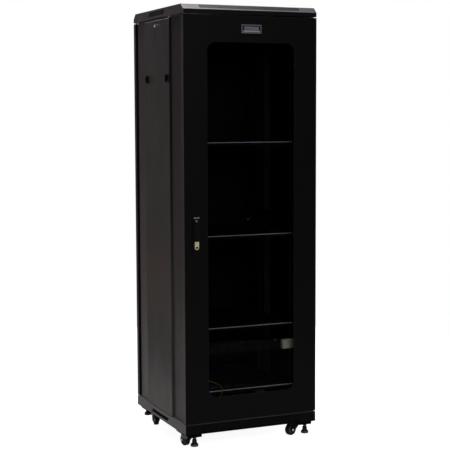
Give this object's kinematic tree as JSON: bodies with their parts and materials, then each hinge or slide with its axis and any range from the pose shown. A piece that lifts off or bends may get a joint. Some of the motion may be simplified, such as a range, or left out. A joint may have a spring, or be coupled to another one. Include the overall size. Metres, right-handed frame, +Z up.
{
  "type": "network server rack cabinet",
  "caption": "Floor-standing 19-inch network cabinet with a glass front door, solid rear door, lift-off side panels, bevelled vented cover, vented base, casters and levelling feet.",
  "frame": {"origin": "centre of the footprint on the floor, under the casters", "axes": "+Z up, -Y out of the glass front door, +X to the right seen from the front"},
  "size_m": [0.618, 0.6246, 1.833],
  "materials": {
    "black_paint": "satin",
    "door_paint": "satin",
    "side_paint": "satin",
    "cover_paint": "satin",
    "rail_paint": "satin",
    "zinc_steel": "bright zinc",
    "chrome": "polished",
    "brass_pin": "yellow zinc",
    "glass": "grey tinted, polished",
    "rubber": "matt",
    "wheel": "matt",
    "black_plastic": "fine grain",
    "cream_plastic": "satin",
    "fan_plastic": "fine grain",
    "wire_pvc": "yellow-green",
    "badge": "satin",
    "lock_gold": "pale gold",
    "grey_fitting": "satin"
  },
  "bodies": {
    "cabinet": {"base_frame": "black_paint", "base_vents": "black_paint", "floor_panel": "black_paint", "corner_posts": "side_paint", "top_frame": "black_paint", "mounting_rails": "rail_paint", "rail_brackets": "black_paint", "cage_nuts": "zinc_steel", "shelves": "black_paint", "screws": "zinc_steel", "top_cover": "cover_paint", "cover_vents": "cover_paint", "fan_tray": "black_paint", "fan_frames": "fan_plastic", "fan_guards": "chrome", "power_strip": "black_paint", "power_sockets": "cream_plastic", "earth_wire": "wire_pvc", "caster_plates": "zinc_steel"},
    "front_door": {"front_door": "door_paint", "door_glass": "glass", "glass_gasket": "rubber", "front_hinge_pins": "brass_pin", "badge_plate": "badge", "handle_base": "black_plastic", "lock_housing": "lock_gold"},
    "handle_spindle": {"handle_cam": "zinc_steel"},
    "handle_lever": {"handle_lever": "black_plastic"},
    "key_plug": {"key_plug": "lock_gold"},
    "rear_door": {"rear_door": "door_paint", "rear_hinge_pins": "brass_pin", "rear_lock_body": "chrome"},
    "rear_lock": {"rear_lock_plug": "chrome"},
    "side_left": {"side_panel_left": "side_paint", "panel_fittings_left": "grey_fitting"},
    "side_left_lock": {"panel_plug_left": "chrome"},
    "side_right": {"side_panel_right": "side_paint", "panel_fittings_right": "grey_fitting"},
    "side_right_lock": {"panel_plug_right": "chrome"},
    "latch_lf": {"latch_slide_lf": "black_plastic"},
    "latch_lr": {"latch_slide_lr": "black_plastic"},
    "latch_rf": {"latch_slide_rf": "black_plastic"},
    "latch_rr": {"latch_slide_rr": "black_plastic"},
    "cable_slide": {"cable_slide": "black_paint"},
    "fan_left": {"fan_rotor_left": "fan_plastic"},
    "fan_right": {"fan_rotor_right": "fan_plastic"},
    "caster_fl": {"caster_fork_fl": "black_paint"},
    "wheel_fl": {"caster_wheel_fl": "wheel"},
    "pedal_fl": {"brake_pedal_fl": "zinc_steel"},
    "caster_fr": {"caster_fork_fr": "black_paint"},
    "wheel_fr": {"caster_wheel_fr": "wheel"},
    "pedal_fr": {"brake_pedal_fr": "zinc_steel"},
    "caster_rl": {"caster_fork_rl": "black_paint"},
    "wheel_rl": {"caster_wheel_rl": "wheel"},
    "caster_rr": {"caster_fork_rr": "black_paint"},
    "wheel_rr": {"caster_wheel_rr": "wheel"},
    "foot_fl": {"foot_fl": "rubber"},
    "foot_fr": {"foot_fr": "rubber"},
    "foot_rl": {"foot_rl": "rubber"},
    "foot_rr": {"foot_rr": "rubber"}
  },
  "joints": [
    {"name": "front_door_hinge", "type": "hinge", "parent": "cabinet", "child": "front_door", "pos_m": [0.292, -0.284, 0.9], "axis": [0, 0, 1], "range_deg": [0, 130]},
    {"name": "handle_turn", "type": "hinge", "parent": "front_door", "child": "handle_spindle", "pos_m": [-0.2495, -0.284, 0.958], "axis": [0, -1, 0], "range_deg": [0, 90]},
    {"name": "handle_lift", "type": "hinge", "parent": "handle_spindle", "child": "handle_lever", "pos_m": [-0.2495, -0.3075, 0.958], "axis": [-1, 0, 0], "range_deg": [0, 40]},
    {"name": "key_turn", "type": "hinge", "parent": "front_door", "child": "key_plug", "pos_m": [-0.2495, -0.302, 0.8505], "axis": [0, -1, 0], "range_deg": [0, 90]},
    {"name": "rear_door_hinge", "type": "hinge", "parent": "cabinet", "child": "rear_door", "pos_m": [-0.292, 0.284, 0.9], "axis": [0, 0, 1], "range_deg": [0, 130]},
    {"name": "rear_lock_turn", "type": "hinge", "parent": "rear_door", "child": "rear_lock", "pos_m": [0.254, 0.295, 0.9], "axis": [0, -1, 0], "range_deg": [0, 90]},
    {"name": "side_left_pull", "type": "slide", "parent": "cabinet", "child": "side_left", "axis": [-1, 0, 0], "range_m": [0, 0.08]},
    {"name": "side_right_pull", "type": "slide", "parent": "cabinet", "child": "side_right", "axis": [1, 0, 0], "range_m": [0, 0.08]},
    {"name": "side_left_lock_turn", "type": "hinge", "parent": "side_left", "child": "side_left_lock", "pos_m": [-0.29, 0.008, 1.7625], "axis": [1, 0, 0], "range_deg": [0, 90]},
    {"name": "side_right_lock_turn", "type": "hinge", "parent": "side_right", "child": "side_right_lock", "pos_m": [0.29, 0.008, 1.7625], "axis": [1, 0, 0], "range_deg": [0, 90]},
    {"name": "latch_lf_slide", "type": "slide", "parent": "side_left", "child": "latch_lf", "axis": [0, 1, 0], "range_m": [0, 0.008], "stiffness_N_per_m": 250},
    {"name": "latch_lr_slide", "type": "slide", "parent": "side_left", "child": "latch_lr", "axis": [0, -1, 0], "range_m": [0, 0.008], "stiffness_N_per_m": 250},
    {"name": "latch_rf_slide", "type": "slide", "parent": "side_right", "child": "latch_rf", "axis": [0, 1, 0], "range_m": [0, 0.008], "stiffness_N_per_m": 250},
    {"name": "latch_rr_slide", "type": "slide", "parent": "side_right", "child": "latch_rr", "axis": [0, -1, 0], "range_m": [0, 0.008], "stiffness_N_per_m": 250},
    {"name": "cable_slide", "type": "slide", "parent": "cabinet", "child": "cable_slide", "axis": [0, 1, 0], "range_m": [-0.06, 0.045]},
    {"name": "fan_left_spin", "type": "hinge", "parent": "cabinet", "child": "fan_left", "pos_m": [-0.112, 0, 1.775], "axis": [0, 0, 1], "continuous": true},
    {"name": "fan_right_spin", "type": "hinge", "parent": "cabinet", "child": "fan_right", "pos_m": [0.112, 0, 1.775], "axis": [0, 0, 1], "continuous": true},
    {"name": "caster_fl_swivel", "type": "hinge", "parent": "cabinet", "child": "caster_fl", "pos_m": [-0.25, -0.212, 0.06], "axis": [0, 0, 1], "continuous": true},
    {"name": "wheel_fl_spin", "type": "hinge", "parent": "caster_fl", "child": "wheel_fl", "pos_m": [-0.25675, -0.18277, 0.025], "axis": [-0.9744, -0.225, 0], "continuous": true},
    {"name": "brake_fl_press", "type": "hinge", "parent": "caster_fl", "child": "pedal_fl", "pos_m": [-0.25607, -0.18569, 0.0545], "axis": [-0.9744, -0.225, 0], "range_deg": [0, 10]},
    {"name": "caster_fr_swivel", "type": "hinge", "parent": "cabinet", "child": "caster_fr", "pos_m": [0.25, -0.212, 0.06], "axis": [0, 0, 1], "continuous": true},
    {"name": "wheel_fr_spin", "type": "hinge", "parent": "caster_fr", "child": "wheel_fr", "pos_m": [0.22089, -0.21926, 0.025], "axis": [0.2419, -0.9703, 0], "continuous": true},
    {"name": "brake_fr_press", "type": "hinge", "parent": "caster_fr", "child": "pedal_fr", "pos_m": [0.2238, -0.21853, 0.0545], "axis": [0.2419, -0.9703, 0], "range_deg": [0, 10]},
    {"name": "caster_rl_swivel", "type": "hinge", "parent": "cabinet", "child": "caster_rl", "pos_m": [-0.25, 0.212, 0.06], "axis": [0, 0, 1], "continuous": true},
    {"name": "wheel_rl_spin", "type": "hinge", "parent": "caster_rl", "child": "wheel_rl", "pos_m": [-0.25418, 0.18229, 0.025], "axis": [0.9903, -0.1392, 0], "continuous": true},
    {"name": "caster_rr_swivel", "type": "hinge", "parent": "cabinet", "child": "caster_rr", "pos_m": [0.25, 0.212, 0.06], "axis": [0, 0, 1], "continuous": true},
    {"name": "wheel_rr_spin", "type": "hinge", "parent": "caster_rr", "child": "wheel_rr", "pos_m": [0.265, 0.23798, 0.025], "axis": [-0.866, 0.5, 0], "continuous": true},
    {"name": "foot_fl_screw", "type": "slide", "parent": "cabinet", "child": "foot_fl", "axis": [0, 0, -1], "range_m": [0, 0.025]},
    {"name": "foot_fr_screw", "type": "slide", "parent": "cabinet", "child": "foot_fr", "axis": [0, 0, -1], "range_m": [0, 0.025]},
    {"name": "foot_rl_screw", "type": "slide", "parent": "cabinet", "child": "foot_rl", "axis": [0, 0, -1], "range_m": [0, 0.025]},
    {"name": "foot_rr_screw", "type": "slide", "parent": "cabinet", "child": "foot_rr", "axis": [0, 0, -1], "range_m": [0, 0.025]}
  ]
}
